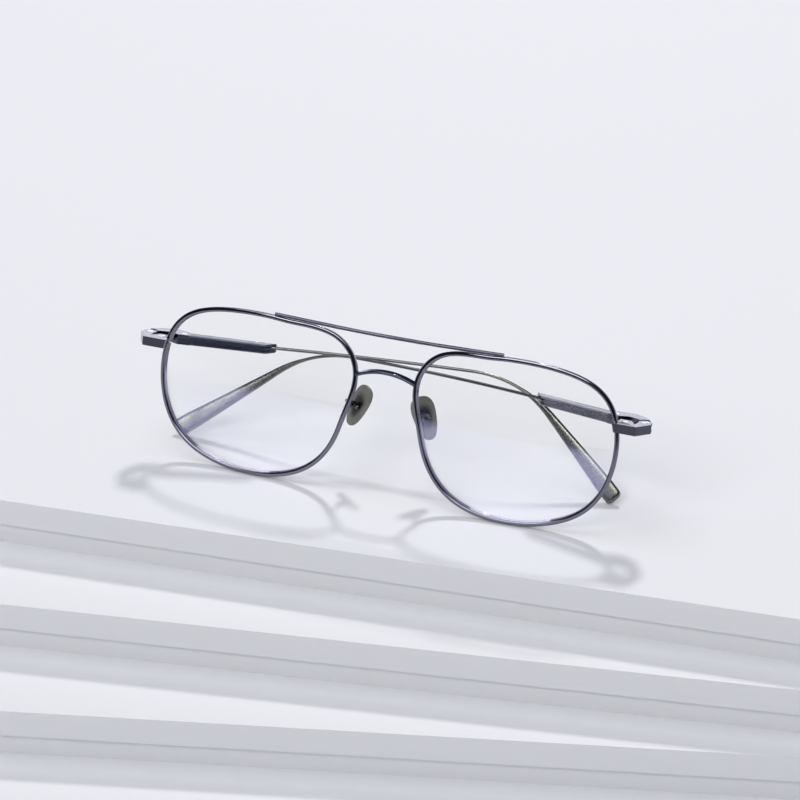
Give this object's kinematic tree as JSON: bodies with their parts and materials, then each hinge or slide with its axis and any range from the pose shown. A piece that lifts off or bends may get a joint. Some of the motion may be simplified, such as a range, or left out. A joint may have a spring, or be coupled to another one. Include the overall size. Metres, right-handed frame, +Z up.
{
  "type": "eyeglasses",
  "caption": "Metal eyeglasses with rounded square rims, a straight brow bar over an arched bridge, rocking nose pads and hinged wire temples, stored folded.",
  "frame": {"origin": "on the surface that the folded glasses stand on, midway between the rims and the rearmost temple wire, on the centre plane", "axes": "+X from the left rim to the right one as seen from the front, +Y from the front towards the wearer, +Z up; the front leans back 13.8 degrees"},
  "size_m": [0.141, 0.03, 0.0434],
  "materials": {
    "purple_titanium": "satin",
    "dark_titanium": "satin",
    "grey_titanium": "satin",
    "wire_titanium": "satin",
    "screw_steel": "polished",
    "clear_lens": "gloss",
    "olive_pad": "satin"
  },
  "bodies": {
    "front": {"rim_left": "purple_titanium", "rim_right": "purple_titanium", "lens_left": "clear_lens", "lens_right": "clear_lens", "brow_bar": "purple_titanium", "bridge": "dark_titanium", "endpiece_left": "purple_titanium", "endpiece_right": "purple_titanium", "rim_lock_left": "dark_titanium", "rim_lock_right": "dark_titanium", "rim_screw_left": "screw_steel", "rim_screw_right": "screw_steel", "hinge_screw_left": "screw_steel", "hinge_screw_right": "screw_steel", "hinge_washers_left": "screw_steel", "hinge_washers_right": "screw_steel", "pad_arm_left": "wire_titanium", "pad_arm_right": "wire_titanium", "pad_screw_left": "screw_steel", "pad_screw_right": "screw_steel"},
    "temple_left": {"knuckle_left": "purple_titanium", "knuckle_screw_left": "screw_steel", "temple_block_left": "grey_titanium", "temple_wire_left": "wire_titanium", "clamp_screws_left": "screw_steel"},
    "temple_right": {"knuckle_right": "purple_titanium", "knuckle_screw_right": "screw_steel", "temple_block_right": "grey_titanium", "temple_wire_right": "wire_titanium", "clamp_screws_right": "screw_steel"},
    "pad_left": {"nose_pad_left": "olive_pad"},
    "pad_right": {"nose_pad_right": "olive_pad"}
  },
  "joints": [
    {"name": "temple_left_hinge", "type": "hinge", "parent": "front", "child": "temple_left", "pos_m": [-0.0684, -0.00196, 0.0285], "axis": [0, 0.2385, 0.9711], "range_deg": [0, 78]},
    {"name": "temple_right_hinge", "type": "hinge", "parent": "front", "child": "temple_right", "pos_m": [0.0684, -0.00196, 0.0285], "axis": [0, -0.2385, -0.9711], "range_deg": [0, 78]},
    {"name": "pad_left_rock", "type": "hinge", "parent": "front", "child": "pad_left", "pos_m": [-0.00993, -0.00334, 0.01993], "axis": [-0.7899, 0.5927, 0.157], "range_deg": [-8, 8]},
    {"name": "pad_right_rock", "type": "hinge", "parent": "front", "child": "pad_right", "pos_m": [0.00993, -0.00334, 0.01993], "axis": [0.7899, 0.5927, 0.157], "range_deg": [-8, 8]}
  ]
}
